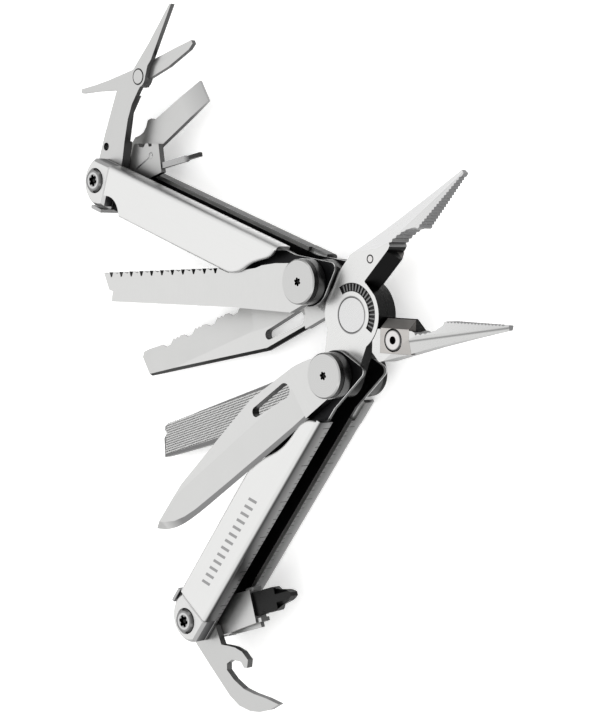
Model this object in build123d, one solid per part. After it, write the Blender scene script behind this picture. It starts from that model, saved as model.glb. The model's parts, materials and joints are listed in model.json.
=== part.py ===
"""Folding pliers tool with outside-opening blades: every piece separate, pliers open, all tools fanned.

The tool lies on its rear side.  Z is the thickness, and the origin is the middle of the lower
handle's rear pivot head, on the surface that the tool rests on.  Each handle is built in a frame of
its own: origin on the blade pivot, X to the tool pivot, Y to the palm side, Z to the front.
"""
from build123d import *
import math
import os

# ---------------------------------------------------------------- driving sizes, mm and degrees
PIVOT_TO_END = 87.5        # blade pivot to tool pivot, along a handle
HALF_WIDTH = 6.6           # handle axis to the slot side of a frame
PALM_EDGE = 4.9            # handle axis to the palm side of a frame
CHANNEL = 6.8              # clear width between the frame walls
FRAME_WALL = 1.1           # frame sheet
FRAME_FLOOR = 1.3          # thickness of the channel floor
BLADE = 2.4                # outside blade thickness
BLADE_RUN = 0.25           # free space on each side of an outside blade
SHELL = 1.1                # outer shell sheet
BOLSTER_STEP = 0.2         # how far a shell stands proud of the end bolster
HEAD_PROUD = 0.5           # how far the pivot heads stand proud of the shells
FIT = 0.05                 # radial clearance of a shaft in its hole
FACE_GAP = 0.05            # clearance on each side of the jaws' lap joint

TANG_ARM = 16.0            # main rivet to blade pivot
TANG_ANGLE = 150.3         # between a jaw's grip line and its tang
TANG_BOSS = 5.9            # round end of a tang
JAW_REACH = 49.4           # main rivet to jaw tip
JAW_SIDE_PLAY = 0.2        # free space between a jaw and each frame wall
JAW_PLATE = CHANNEL - 2 * JAW_SIDE_PLAY
JAW_TIP_THICK = 1.6        # thickness of a jaw at its tip
HUB_RADIUS = 9.4           # round joint plate of a jaw
RIVET_RADIUS = 4.5         # main rivet

POST_RADIUS = 2.4          # blade pivot post
HEAD_RADIUS = 5.87         # blade pivot head
END_POST_RADIUS = 2.0      # tool pivot post
END_HEAD_RADIUS = 3.45     # tool pivot head
STUD_RADIUS = 1.2          # threaded stud of both screws
BOLSTER = 5.3                            # tool pivot back to the end of the shells
TIP_GAP = 0.6                            # between a closed blade's tip and the bolster
JOINT_LINE = PIVOT_TO_END - BOLSTER
BLADE_REACH = JOINT_LINE - TIP_GAP       # longest outside blade, pivot to tip
DRAWN_REACH = 81.6                       # blade length that the blade outlines are drawn for

CUTTER_SCREW = (14.5, 5.6)               # cap screw of a cutter insert, in the jaw's frame
CUTTER_STUD = 1.1
CUTTER_HEAD = 2.8
CUTTER_SPAN = (10.2, 19.8)
CUTTER_TOP = 9.0
SEAT = -0.6                              # level of the insert's seat in the jaw
END_HEAD_SINK = 1.6                      # depth of the seat of a tool pivot head in the bolster

LOCK_ARM = 27.5                          # lock pin to tool pivot
LOCK_DEPTH = 1.75                        # edge of the frame to the palm side of the lock bar
LOCK_PIN_DEPTH = 1.6
LOCK_PIVOT = (PIVOT_TO_END - LOCK_ARM, -HALF_WIDTH + LOCK_PIN_DEPTH)
LOCK_TAB = (PIVOT_TO_END - 5.0, PIVOT_TO_END - 0.5)
LOCK_PIN_RADIUS = 0.7

TANG_GAP = 0.45                          # between an inside tool's tang and the lock bar
TOOL_TANG = HALF_WIDTH - LOCK_DEPTH - TANG_GAP
TOOL_GAP = 0.2                           # free space between inside tools
UPPER_STACK = CHANNEL - 4 * TOOL_GAP     # three tools share the upper channel, two the lower one
LOWER_STACK = CHANNEL - 3 * TOOL_GAP
FLAT_DRIVER_THICK = 1.4
SMALL_DRIVER_THICK = 1.7
SCISSORS_THICK = UPPER_STACK - FLAT_DRIVER_THICK - SMALL_DRIVER_THICK
OPENER_THICK = 1.9
LARGE_DRIVER_THICK = LOWER_STACK - OPENER_THICK
SCISSORS_RIVET = (31.75, 0.0)            # in the scissors' frame, pivot at 0, tip on +X
SCISSORS_RIVET_RADIUS = 2.1
SMALL_SOCKET = (10.1, 19.6)
SMALL_BIT_WIDTH = 1.7
SMALL_BIT_THICK = 1.0
SMALL_BIT_END = 35.8
SMALL_BIT_Y = -0.8
SMALL_PIN = (15.8, -4.4)
SMALL_PIN_RADIUS = 0.9
LARGE_SOCKET = (7.0, 20.0)
LARGE_BIT_WIDTH = 6.4
LARGE_BIT_THICK = 2.6
LARGE_BIT_END = 34.5

UPPER_JAW_ANGLE = 42.5     # grip lines and handles as the tool lies, seen from the front
LOWER_JAW_ANGLE = -3.7
LOWER_HANDLE_ANGLE = -129.6
UPPER_HANDLE_ANGLE = 159.1
KNIFE_OPEN = 17.5          # how far each piece stands out of its closed place
FILE_OPEN = 36.0
SAW_OPEN = 18.4
SERRATED_OPEN = 36.0
OPENER_TURN = 92.0         # direction of each inside tool in its handle's frame; 180 is closed
LARGE_DRIVER_TURN = 145.0
SCISSORS_TURN = 95.6
FLAT_DRIVER_TURN = 130.0
SMALL_DRIVER_TURN = 152.0

# ---------------------------------------------------------------- levels through the thickness
WALL_IN = CHANNEL / 2
WALL_OUT = WALL_IN + FRAME_WALL
BLADE_IN = WALL_OUT + BLADE_RUN
BLADE_OUT = BLADE_IN + BLADE
SHELL_IN = BLADE_OUT + BLADE_RUN
SHELL_OUT = SHELL_IN + SHELL
HEAD_OUT = SHELL_OUT + HEAD_PROUD
BOLSTER_OUT = SHELL_OUT - BOLSTER_STEP
PALM = PALM_EDGE + SHELL
HALF_JAW = JAW_PLATE / 2


# ---------------------------------------------------------------- small shapes
def outline(*points):
    """A flat face with straight sides."""
    return make_face(Polyline(*points, close=True))


def plate(face, bottom, top):
    """A flat face made solid between two levels."""
    return extrude(Pos(0, 0, bottom) * face, top - bottom)


def rod(x, y, radius, bottom, top):
    return Pos(x, y, (bottom + top) / 2) * Cylinder(radius, top - bottom)


def block(x0, x1, y0, y1, z0, z1):
    return Pos((x0 + x1) / 2, (y0 + y1) / 2, (z0 + z1) / 2) * Box(x1 - x0, y1 - y0, z1 - z0)


def above(a, b, c):
    """The space over the plane through three points."""
    a, b, c = Vector(*a), Vector(*b), Vector(*c)
    normal = (b - a).cross(c - a)
    if normal.Z < 0:
        normal = -normal
    plane = Plane(origin=a, x_dir=b - a, z_dir=normal)
    return plane * (Pos(0, 0, 15.0) * Box(200.0, 200.0, 30.0))


def rear(shape):
    """The same piece on the other side of the handle."""
    return mirror(shape, Plane.XY)


def star_recess(radius, bottom, top):
    """Six-lobed driver recess."""
    lobe = radius * 0.3
    recess = rod(0, 0, radius * 0.72, bottom, top)
    for step in range(6):
        angle = math.radians(60 * step)
        reach = radius - lobe
        recess += rod(reach * math.cos(angle), reach * math.sin(angle), lobe, bottom, top)
    return recess


# ---------------------------------------------------------------- pliers
def jaw():
    """One jaw in its own frame: grip line on X, body on +Y, joint plate on the front half.

    The other jaw is the same forging turned over about X.
    """
    grip = 0.1
    pipe_start, pipe_end = 21.5, 30.6
    teeth_start, teeth_end = 31.2, JAW_REACH - 1.1
    tooth, tooth_depth = 1.0, 0.4
    root = 3.0

    tip = JAW_REACH
    points = [(tip, grip + 0.1), (tip, 1.4), (tip - 5.3, 2.6), (tip - 10.8, 3.9), (tip - 21.8, 6.6)]
    points += [(18.0, 9.2), (10.0, 11.3), (7.5, 9.0), (7.5, root), (pipe_start - 1.0, root)]
    points += [(pipe_start, root + 0.3)]
    pipe_teeth = 6
    pitch = (pipe_end - pipe_start) / pipe_teeth
    for step in range(pipe_teeth):
        x = pipe_start + pitch * step
        hollow = 3.5 * math.cos(math.radians(90.0 * (step + 0.5) / pipe_teeth)) ** 0.6
        points += [(x + 0.25 * pitch, hollow + 0.55), (x + 0.75 * pitch, hollow)]
    points += [(pipe_end, grip + 0.1)]
    for step in range(int((teeth_end - teeth_start) / tooth)):
        x = teeth_start + tooth * step
        points += [(x, grip), (x + tooth / 2, grip + tooth_depth)]
    points += [(teeth_end, grip)]
    nose = plate(outline(*points), -HALF_JAW, HALF_JAW)

    flank = [(0.0, HALF_JAW), (22.0, HALF_JAW), (JAW_REACH + 1, JAW_TIP_THICK / 2)]
    flank += [(JAW_REACH + 1, -JAW_TIP_THICK / 2), (22.0, -HALF_JAW), (0.0, -HALF_JAW)]
    side = Plane(origin=(0, 0, 0), x_dir=(1, 0, 0), z_dir=(0, -1, 0))
    nose &= extrude(side * outline(*flank), -20.0)

    # wire cutter: a V edge on the middle plane, its rear half is the insert
    edge = [(root, HALF_JAW), (grip, 0.0), (root, -HALF_JAW)]
    across = Plane(origin=(9.4, 0, 0), x_dir=(0, 1, 0), z_dir=(1, 0, 0))
    nose += extrude(across * outline(*edge), 10.4)

    tang_x = TANG_ARM * math.cos(math.radians(TANG_ANGLE))
    tang_y = -TANG_ARM * math.sin(math.radians(TANG_ANGLE))
    tang_round = Pos(tang_x, tang_y) * Circle(TANG_BOSS)
    web = make_hull([*Circle(HUB_RADIUS - 1.6).edges(), *tang_round.edges()])
    shoulder = outline((10.5, 11.2), (4.5, 10.9), (0.0, HUB_RADIUS), (0.0, 0.0), (10.5, root))
    joint_plate = plate(web + Circle(HUB_RADIUS) + shoulder, FACE_GAP, HALF_JAW)
    boss = rod(tang_x, tang_y, TANG_BOSS, -HALF_JAW, HALF_JAW)
    other_hub = rod(0, 0, HUB_RADIUS + 0.25, -HALF_JAW - 1, FACE_GAP)
    body = (nose + boss) - other_hub + joint_plate
    body -= rod(0, 0, RIVET_RADIUS + FIT, -HALF_JAW - 1, HALF_JAW + 1)
    body -= rod(tang_x, tang_y, POST_RADIUS + FIT, -HALF_JAW - 1, HALF_JAW + 1)

    # plain curved groove round the rivet
    groove = 0.35
    band = Circle(8.2) - Circle(6.0)
    side_x, side_y = 30.0 * math.cos(math.radians(77)), 30.0 * math.sin(math.radians(77))
    wedge = outline((0, 0), (side_x, -side_y), (40.0, 0), (side_x, side_y))
    body -= plate(band & wedge, HALF_JAW - groove, HALF_JAW + 1)

    for cut in back_facets():
        body -= cut
    body -= cutter_pocket()
    body -= rod(CUTTER_SCREW[0], CUTTER_SCREW[1], CUTTER_STUD + FIT, -HALF_JAW - 1, HALF_JAW + 1)
    return body


def back_facets():
    """Wide facets that thin a jaw towards its back, one on each face, fading out at the shoulder."""
    ridge_start, ridge_end = (18.0, 5.9, HALF_JAW), (JAW_REACH, 0.8, JAW_TIP_THICK / 2)
    back = (18.0, 9.2, HALF_JAW - 0.9)
    shoulder = (10.8, 11.4, HALF_JAW)
    cut = above(ridge_start, ridge_end, back) & above(back, shoulder, ridge_start)
    return [cut, rear(cut)]


def cutter_pocket():
    """The space in a jaw that its insert fills."""
    return block(CUTTER_SPAN[0], CUTTER_SPAN[1], -1.0, CUTTER_TOP, -HALF_JAW - 1, SEAT)


def cutter_insert():
    """Hard wire-cutter insert: an edge on the grip line, bevelled back to the rear face."""
    run = 0.04
    x0, x1 = CUTTER_SPAN
    top = CUTTER_TOP - run
    section = [(0.3, SEAT - run), (top, SEAT - run), (top, -HALF_JAW), (2.7, -HALF_JAW)]
    across = Plane(origin=(x0 + run, 0, 0), x_dir=(0, 1, 0), z_dir=(1, 0, 0))
    insert = extrude(across * outline(*section), x1 - x0 - 2 * run)
    insert -= rod(CUTTER_SCREW[0], CUTTER_SCREW[1], CUTTER_STUD + FIT, -HALF_JAW - 1, 1.0)
    sink = HALF_JAW - 1.0
    insert -= rod(CUTTER_SCREW[0], CUTTER_SCREW[1], CUTTER_HEAD + 0.15, -HALF_JAW - 1, -sink)
    return insert - back_facets()[1]


def cutter_screw():
    """Cap screw that holds an insert, its head in the rear face."""
    x, y = CUTTER_SCREW
    sink = HALF_JAW - 1.0
    head = rod(x, y, CUTTER_HEAD, -HALF_JAW - 0.15, -sink)
    head = chamfer(head.edges().group_by(Axis.Z)[0], 0.3)
    head -= rod(x, y, 1.05, -HALF_JAW - 1, -HALF_JAW + 0.75) & hexagon(x, y, 1.05)
    return head + rod(x, y, CUTTER_STUD, -sink, HALF_JAW)


def hexagon(x, y, radius):
    return plate(Pos(x, y) * RegularPolygon(radius, 6), -HALF_JAW - 1, HALF_JAW)


def main_rivet():
    """Rivet that the jaws turn on, finished flush with both faces."""
    rivet = Cylinder(RIVET_RADIUS, JAW_PLATE)
    return chamfer(rivet.edges(), 0.12)


# ---------------------------------------------------------------- handle frame and shells
def frame_plan():
    """Plan of a frame: round pivot end with an ear to the palm, straight flanks, round tool end."""
    flanks = outline((0, -HALF_WIDTH), (JOINT_LINE, -HALF_WIDTH), (JOINT_LINE, PALM_EDGE), (0, PALM_EDGE))
    ear_round = Pos(-5.9, PALM_EDGE + 0.8) * Circle(1.5)
    ear_root = outline((-6.3, -1.0), (0, -1.0), (7.0, 0), (7.0, PALM_EDGE))
    ear = make_hull([*ear_round.edges(), *ear_root.edges()])
    heel = Circle(HALF_WIDTH - 0.2) & outline((-10, -10), (2, -10), (2, 0), (-10, 0))
    tool_end = Pos(PIVOT_TO_END - 1.9, 0.3) * Circle(HALF_WIDTH + 0.4)
    palm_limit = outline((0, -20), (PIVOT_TO_END + 20, -20), (PIVOT_TO_END + 20, PALM), (0, PALM))
    return flanks + ear + heel + (tool_end & beyond_joint_line() & palm_limit)


def beyond_joint_line():
    return Pos(JOINT_LINE + 10, 0) * Rectangle(20.0, 20.0)


def frame():
    """Folded sheet channel, open to the palm, with a solid bolster on each side of its tool end."""
    wall = plate(frame_plan(), WALL_IN, WALL_OUT)
    bolster = plate(frame_plan() & beyond_joint_line(), WALL_OUT, BOLSTER_OUT)
    bolster = chamfer(bolster.edges().group_by(Axis.Z)[-1], 0.8)
    bolster -= rod(PIVOT_TO_END, 0, END_HEAD_RADIUS + 0.15, BOLSTER_OUT - END_HEAD_SINK, BOLSTER_OUT + 1)
    side = wall + bolster
    floor_end = LOCK_PIVOT[0] - 15.0
    floor = block(9.0, floor_end, -HALF_WIDTH, -HALF_WIDTH + FRAME_FLOOR, -WALL_IN, WALL_IN)
    body = side + rear(side) + floor
    body -= rod(0, 0, POST_RADIUS + FIT, -BOLSTER_OUT, BOLSTER_OUT)
    body -= rod(PIVOT_TO_END, 0, END_POST_RADIUS + FIT, -BOLSTER_OUT, BOLSTER_OUT)
    body -= rod(LOCK_PIVOT[0], LOCK_PIVOT[1], LOCK_PIN_RADIUS + FIT, -WALL_OUT - 1, WALL_OUT + 1)
    return body


def shell(long_scoop, palm_tail):
    """Outer shell of one side: flat face, flange down the palm side, thumb scoop.

    The shell with the short scoop also has the lock notch.  A rear shell has a palm tail, a narrow
    strip of its flange that runs on towards the blade pivot.
    """
    if long_scoop:
        wave = [(15.0, 0.14), (20.3, 0.02), (27.1, -0.26), (31.8, -0.64), (36.7, -0.92), (41.5, -1.0)]
    else:
        wave = [(15.0, 0.14), (19.7, -0.35), (22.4, -0.74), (25.2, -0.95), (28.6, -1.0)]
    start = (10.7, PALM)
    wave = [(11.2, 0.74), (12.6, 0.39)] + wave
    wave = [(x, y * HALF_WIDTH) for x, y in wave]
    scoop = Spline(start, *wave, tangents=((0.42, -1.0), (1.0, 0.0)))
    end = JOINT_LINE - FIT
    corner = (end, -HALF_WIDTH)
    sides = [scoop, Line((end, PALM), start)]
    if long_scoop:
        sides += [Line(wave[-1], corner)]
    else:
        notch_start, notch_end = (JOINT_LINE - 8.2, -HALF_WIDTH), (JOINT_LINE - 2.4, -2.3)
        corner = (end, -2.7)
        sides += [Line(wave[-1], notch_start)]
        sides += [ThreePointArc(notch_start, (JOINT_LINE - 6.2, -3.5), notch_end), Line(notch_end, corner)]
    sides += [Line(corner, (end, PALM))]
    face = plate(make_face(sides), SHELL_IN, SHELL_OUT)
    flange = block(start[0], end, PALM_EDGE, PALM, WALL_IN + 0.1, SHELL_OUT)
    body = face + flange
    palm_edges = body.edges().filter_by(Axis.X).filter_by(lambda e: e.center().Y > PALM - 0.01)
    body = fillet(palm_edges.sort_by(Axis.Z)[-1], 1.4)
    slot_edge = body.edges().filter_by(Axis.X).filter_by(lambda e: e.center().Y < -HALF_WIDTH + 0.01)
    body = fillet(slot_edge.sort_by(Axis.Z)[-1], 0.7)
    if palm_tail:
        tail = block(HEAD_RADIUS - 1.2, start[0] + 1.3, PALM_EDGE, PALM, WALL_OUT + 0.1, SHELL_OUT)
        tail_edge = tail.edges().filter_by(Axis.X).group_by(Axis.Y)[-1].sort_by(Axis.Z)[-1]
        body += fillet(tail_edge, 1.05)
    return body


# ---------------------------------------------------------------- pivots
def pivot_post():
    """Blade pivot post with its rear head, in one piece."""
    head_in = BLADE_OUT + 0.15
    post = rod(0, 0, POST_RADIUS, -head_in, head_in - FIT)
    head = chamfer(rod(0, 0, HEAD_RADIUS, -HEAD_OUT, -head_in).edges().group_by(Axis.Z)[0], 0.35)
    return post + head - rod(0, 0, STUD_RADIUS + FIT, 2.0, head_in)


def pivot_screw():
    """Front pivot head with its threaded stud and driver recess."""
    head_in = BLADE_OUT + 0.15
    head = chamfer(rod(0, 0, HEAD_RADIUS, head_in, HEAD_OUT).edges().group_by(Axis.Z)[-1], 0.35)
    recess = star_recess(1.15, HEAD_OUT - 1.1, HEAD_OUT + 1)
    recess -= rod(0, 0, 0.4, HEAD_OUT - 1.2, HEAD_OUT - 0.3)
    return head - recess + rod(0, 0, STUD_RADIUS, 2.4, head_in)


def end_head(outer):
    """Domed head of a tool pivot, with its axis on the tool pivot."""
    seat = BOLSTER_OUT - END_HEAD_SINK
    head = rod(PIVOT_TO_END, 0, END_HEAD_RADIUS, seat, outer)
    return chamfer(head.edges().group_by(Axis.Z)[-1], 0.5)


def end_post():
    """Tool pivot post with its rear head, in one piece."""
    seat = BOLSTER_OUT - END_HEAD_SINK
    post = rod(PIVOT_TO_END, 0, END_POST_RADIUS, -seat, seat - FIT)
    return post + rear(end_head(HEAD_OUT)) - rod(PIVOT_TO_END, 0, STUD_RADIUS + FIT, 1.5, seat)


def end_screw():
    """Front head of the tool pivot, with a stud and a six-lobed recess round a centre pin."""
    seat = BOLSTER_OUT - END_HEAD_SINK
    recess = star_recess(1.7, HEAD_OUT - 1.3, HEAD_OUT + 1)
    recess -= rod(0, 0, 0.5, HEAD_OUT - 1.4, HEAD_OUT - 0.4)
    head = end_head(HEAD_OUT) - Pos(PIVOT_TO_END, 0, 0) * recess
    return head + rod(PIVOT_TO_END, 0, STUD_RADIUS, 1.8, seat)


def blade_washers():
    """Thin washers between the frame and the outside blades."""
    ring = rod(0, 0, HEAD_RADIUS - 0.57, WALL_OUT, BLADE_IN - 0.03)
    ring -= rod(0, 0, POST_RADIUS + FIT, WALL_OUT - 1, BLADE_IN)
    return [ring, rear(ring)]


# ---------------------------------------------------------------- lock of the inside tools
def lock_lever():
    """Rocking lock bar on the channel floor, with a thumb tab across the tool end."""
    x0, y0 = LOCK_PIVOT
    top = -HALF_WIDTH + LOCK_DEPTH
    bottom = -HALF_WIDTH + 0.1
    half = WALL_IN - 0.2
    bar = block(x0 - 8.0, LOCK_TAB[0] + 1.5, bottom, top, -half, half)
    heel = block(x0 - 14.0, x0 - 8.0, bottom, top - 0.95, -half, half)
    boss = rod(x0, y0, 1.4, -half, half)
    tab_in = -HALF_WIDTH - 0.4
    link = block(LOCK_TAB[0], LOCK_TAB[0] + 1.5, tab_in, top, -half, half)
    tab = block(LOCK_TAB[0], LOCK_TAB[1], tab_in - 1.1, tab_in, -BOLSTER_OUT + 0.3, BOLSTER_OUT - 0.3)
    tab = chamfer(tab.edges().group_by(Axis.Y)[0], 0.3)
    return bar + heel + boss + link + tab - rod(x0, y0, LOCK_PIN_RADIUS + FIT, -half - 1, half + 1)


def lock_pin():
    return rod(LOCK_PIVOT[0], LOCK_PIVOT[1], LOCK_PIN_RADIUS, -WALL_OUT, WALL_OUT)


def lock_spring():
    """Leaf on the channel floor that presses the lock bar's heel down."""
    floor = -HALF_WIDTH + FRAME_FLOOR
    half = WALL_IN - 0.5
    leaf = block(12.0, LOCK_PIVOT[0] - 10.0, floor, floor + 0.4, -half, half)
    slot = block(26.0, LOCK_PIVOT[0] - 14.0, floor - 1, floor + 1, -0.6, 0.6)
    return leaf - slot


# ---------------------------------------------------------------- outside blades, closed, front side
def grind(line_start, line_end, edge_drop):
    """Two wedges that thin a blade from a grind line down to its edge, one on each face."""
    past_tip = 30.0
    thin_edge = 0.3
    ax, ay = line_start
    bx, by = line_end
    lean = math.degrees(math.atan2(by - ay, bx - ax))
    length = math.hypot(bx - ax, by - ay)
    tilt = math.degrees(math.atan2(BLADE / 2 - thin_edge, edge_drop))
    cutter = block(0, length + past_tip, 0, 30.0, 0, 10.0)
    top = Pos(ax, ay, BLADE_OUT) * Rot(0, 0, lean) * Rot(-tilt, 0, 0) * cutter
    middle = (BLADE_IN + BLADE_OUT) / 2
    return [top, mirror(top, Plane.XY.offset(middle))]


def bevel_along(points, start, width, foot, rise):
    """Planes that bevel a blade's outline on both faces, one for each stretch between points.

    The bevel starts over the middle plane by foot, and rises over its width, measured towards +Y.
    """
    middle = (BLADE_IN + BLADE_OUT) / 2
    stretch = BLADE_REACH / DRAWN_REACH
    limit = block(start, BLADE_REACH + 5, -2 * HALF_WIDTH, 2 * HALF_WIDTH, middle, BLADE_OUT + 1)
    cuts = []
    for (ax, ay), (bx, by) in zip(points, points[1:]):
        outer_a, outer_b = (ax * stretch, ay, middle + foot), (bx * stretch, by, middle + foot)
        inner = (ax * stretch, ay + width, middle + foot + rise)
        cut = above(outer_a, outer_b, inner) & limit
        cuts += [cut, mirror(cut, Plane.XY.offset(middle))]
    return cuts


def hone(points, start, width):
    """The narrow bevel that makes a cutting edge."""
    return bevel_along(points, start, -width, 0.03, 0.32)


def thumb_hole():
    """Long hole that opens a blade with one thumb."""
    wide, narrow = Pos(15.6, -5.4) * Circle(1.95), Pos(27.9, -6.5) * Circle(1.35)
    return plate(make_hull([*wide.edges(), *narrow.edges()]), BLADE_IN - 1, BLADE_OUT + 1)


def blade_tang():
    return Circle(HEAD_RADIUS + 0.15)


def finish_blade(face, cuts):
    """Give a blade its length, its thickness, its pivot hole and its cuts."""
    face = scale(face, by=(BLADE_REACH / DRAWN_REACH, 1, 1))
    body = plate(face + blade_tang(), BLADE_IN, BLADE_OUT)
    for cut in cuts:
        body -= cut
    return body - rod(0, 0, POST_RADIUS + FIT, BLADE_IN - 1, BLADE_OUT + 1)


def knife():
    """Clip-point knife: a narrow flat along the spine, then one long grind to a curved edge."""
    tip = (DRAWN_REACH, -1.6)
    back = [(64.5, -6.0), (27.8, -10.3), (9.7, -8.8), (5.5, -7.8), (0.0, -6.0), (0.0, 4.8), (10.0, 4.7)]
    spine = Polyline(tip, *back)
    edge_points = [(10.0, 4.7), (33.5, 4.5), (52.1, 4.0), (66.0, 3.5), (75.6, 1.8), tip]
    edge = Spline(*edge_points)
    face = make_face([*spine.edges(), edge])
    stretches = 16
    edge_line = [tuple(edge @ (step / stretches))[:2] for step in range(stretches + 1)]
    cuts = [thumb_hole(), *grind((13.0, -4.2), (64.5, -4.6), 9.0), *hone(edge_line, 13.0, 0.9)]
    return finish_blade(face, cuts)


def serrated_knife():
    """Blunt-nosed knife with groups of scallops along its edge."""
    tip_x = 81.47
    points = [(tip_x, 1.8), (78.8, -4.5), (29.6, -10.5), (12.3, -8.6), (5.5, -7.8), (0.0, -6.0)]
    points += [(0.0, 4.8), (10.0, 4.75), (33.5, 4.4)]
    scallop, small, group = 0.8, 1.6, 9.8
    for row in range(4):
        x = 34.5 + group * row
        y = 4.3 - 0.3 * row
        points += [(x, y), (x + small * 0.5, y - scallop * 0.7), (x + small, y)]
        points += [(x + small * 1.5, y - scallop * 0.7), (x + small * 2, y)]
        points += [(x + small * 2 + 1.4, y - 1.4), (x + small * 2 + 3.4, y - 1.6)]
        points += [(x + small * 2 + 5.0, y - 0.5)]
    points += [(tip_x - 3.2, 3.3), (tip_x - 0.8, 3.2)]
    wedges = grind((13.0, -5.2), (79.0, -1.6), 8.5)
    edge_line = [(33.0, 4.5), (tip_x, 3.0)]
    back_line = [(12.3, -8.6), (29.6, -10.5), (78.8, -4.5)]
    eased_back = bevel_along(back_line, 14.0, 0.8, BLADE / 2 - 0.9, 0.9)
    return finish_blade(outline(*points), [thumb_hole(), *wedges, *hone(edge_line, 33.2, 2.3), *eased_back])


def saw():
    """Wood saw: raked teeth with deep round-backed gullets, a hooked tip and a plain back."""
    pitch, count = 4.37, 11
    first = 33.0
    last = first + pitch * (count - 1)
    tip_x = 80.2
    points = [(10.0, 4.7), (15.1, 4.1), (17.4, 3.4), (20.4, 3.0), (25.5, 2.2), (28.0, 2.0)]
    for step in range(count):
        x = first + pitch * step
        y = 3.2 - 0.036 * (x - first)
        points += [(x - 2.6, y - 0.5), (x - 1.3, y - 0.1), (x - 0.7, y)]
        points += [(x - 0.15, y - 1.35), (x + 0.35, y - 1.45), (x + 0.95, y)]
    points += [(last + 2.0, 1.2), (tip_x, 1.5), (tip_x - 2.4, -3.4), (tip_x - 4.1, -3.8), (tip_x - 3.7, -5.0)]
    points += [(tip_x - 3.5, -6.7), (27.0, -7.1), (4.5, -8.0), (0.0, -6.0), (0.0, 4.8)]
    return finish_blade(outline(*points), [])


def metal_file():
    """Double-cut file with a square nose, a V nick in the nose and plain ends to its teeth."""
    points = [(78.6, -4.6), (79.0, -3.4), (78.2, -2.5), (80.0, -1.3), (81.2, 4.0), (60.9, 4.7), (10.0, 4.8)]
    points += [(0.0, 4.8), (0.0, -6.0), (5.5, -7.6), (24.0, -6.4), (34.0, -5.8), (63.0, -5.2)]
    return finish_blade(outline(*points), [])


# ---------------------------------------------------------------- inside tools, pivot at 0, tip on +X
SCISSORS_TOP = WALL_IN - TOOL_GAP
SCISSORS_BOTTOM = SCISSORS_TOP - SCISSORS_THICK
SMALL_TOP = SCISSORS_BOTTOM - TOOL_GAP
SMALL_BOTTOM = SMALL_TOP - SMALL_DRIVER_THICK
FLAT_TOP = SMALL_BOTTOM - TOOL_GAP
FLAT_BOTTOM = FLAT_TOP - FLAT_DRIVER_THICK
OPENER_TOP = WALL_IN - TOOL_GAP
OPENER_BOTTOM = OPENER_TOP - OPENER_THICK
LARGE_TOP = OPENER_BOTTOM - TOOL_GAP
LARGE_BOTTOM = LARGE_TOP - LARGE_DRIVER_THICK
SCISSORS_LAP = SCISSORS_BOTTOM + SCISSORS_THICK / 2


def tool_bore(bottom, top):
    return rod(0, 0, END_POST_RADIUS + FIT, bottom - 1, top + 1)


def scissors_body():
    """Scissors arm and its fixed blade: full thickness at the pivot, front half beyond."""
    x, y = SCISSORS_RIVET
    base = [(0.0, -TOOL_TANG), (4.0, -6.6), (13.0, -7.1), (13.0, 1.9), (8.0, 3.2), (0.0, TOOL_TANG)]
    heel = plate(outline(*base) + Circle(TOOL_TANG), SCISSORS_BOTTOM, SCISSORS_TOP)
    arm = [(4.0, -6.6), (15.8, -7.1), (25.2, -7.2), (28.6, -3.6), (33.5, -2.6), (41.7, 0.4), (54.6, 4.2)]
    arm += [(55.0, 4.9), (47.1, 4.1), (38.0, 3.2), (36.0, 2.5), (33.0, 2.8), (27.9, 1.5), (23.7, 0.6)]
    arm += [(19.2, 0.7), (13.0, 1.9), (8.0, 3.2)]
    front = plate(outline(*arm) + Pos(x, y) * Circle(3.0), SCISSORS_LAP + 0.03, SCISSORS_TOP)
    body = heel + front - tool_bore(SCISSORS_BOTTOM, SCISSORS_TOP)
    body -= rod(x, y, SCISSORS_RIVET_RADIUS + FIT, SCISSORS_BOTTOM, SCISSORS_TOP + 1)
    return body - rod(8.6, -5.0, 1.15, SCISSORS_BOTTOM - 1, SCISSORS_TOP + 1)


def scissors_lever():
    """Moving blade and thumb lever in one piece, on the rear half."""
    x, y = SCISSORS_RIVET
    arm = [(48.3, 15.3), (43.6, 9.4), (37.6, 2.2), (34.6, -1.8), (31.9, -5.0), (25.6, -13.6)]
    arm += [(22.5, -18.2), (18.8, -24.2), (17.8, -23.4), (20.8, -17.2), (22.6, -13.0), (24.4, -9.0)]
    arm += [(28.6, -1.6), (29.6, 2.4)]
    arm += [(32.4, 3.0), (38.3, 9.3), (45.6, 15.4), (47.6, 16.2)]
    face = outline(*arm) + Pos(x, y) * Circle(3.0)
    body = plate(face, SCISSORS_BOTTOM + 0.03, SCISSORS_LAP - 0.03)
    return body - rod(x, y, SCISSORS_RIVET_RADIUS + FIT, SCISSORS_BOTTOM - 1, SCISSORS_LAP + 1)


def scissors_rivet():
    x, y = SCISSORS_RIVET
    return rod(x, y, SCISSORS_RIVET_RADIUS, SCISSORS_BOTTOM, SCISSORS_TOP + 0.1)


def scissors_spring():
    """Leaf that opens the scissors, riveted to the heel and lying beside the arm."""
    leaf = [(13.0 + FIT, -0.9), (20.5, -1.6), (26.0, -0.2), (26.4, 0.5), (20.8, -0.6), (13.0 + FIT, 1.2)]
    return plate(outline(*leaf), SCISSORS_BOTTOM + 0.15, SCISSORS_LAP - 0.15)


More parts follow.
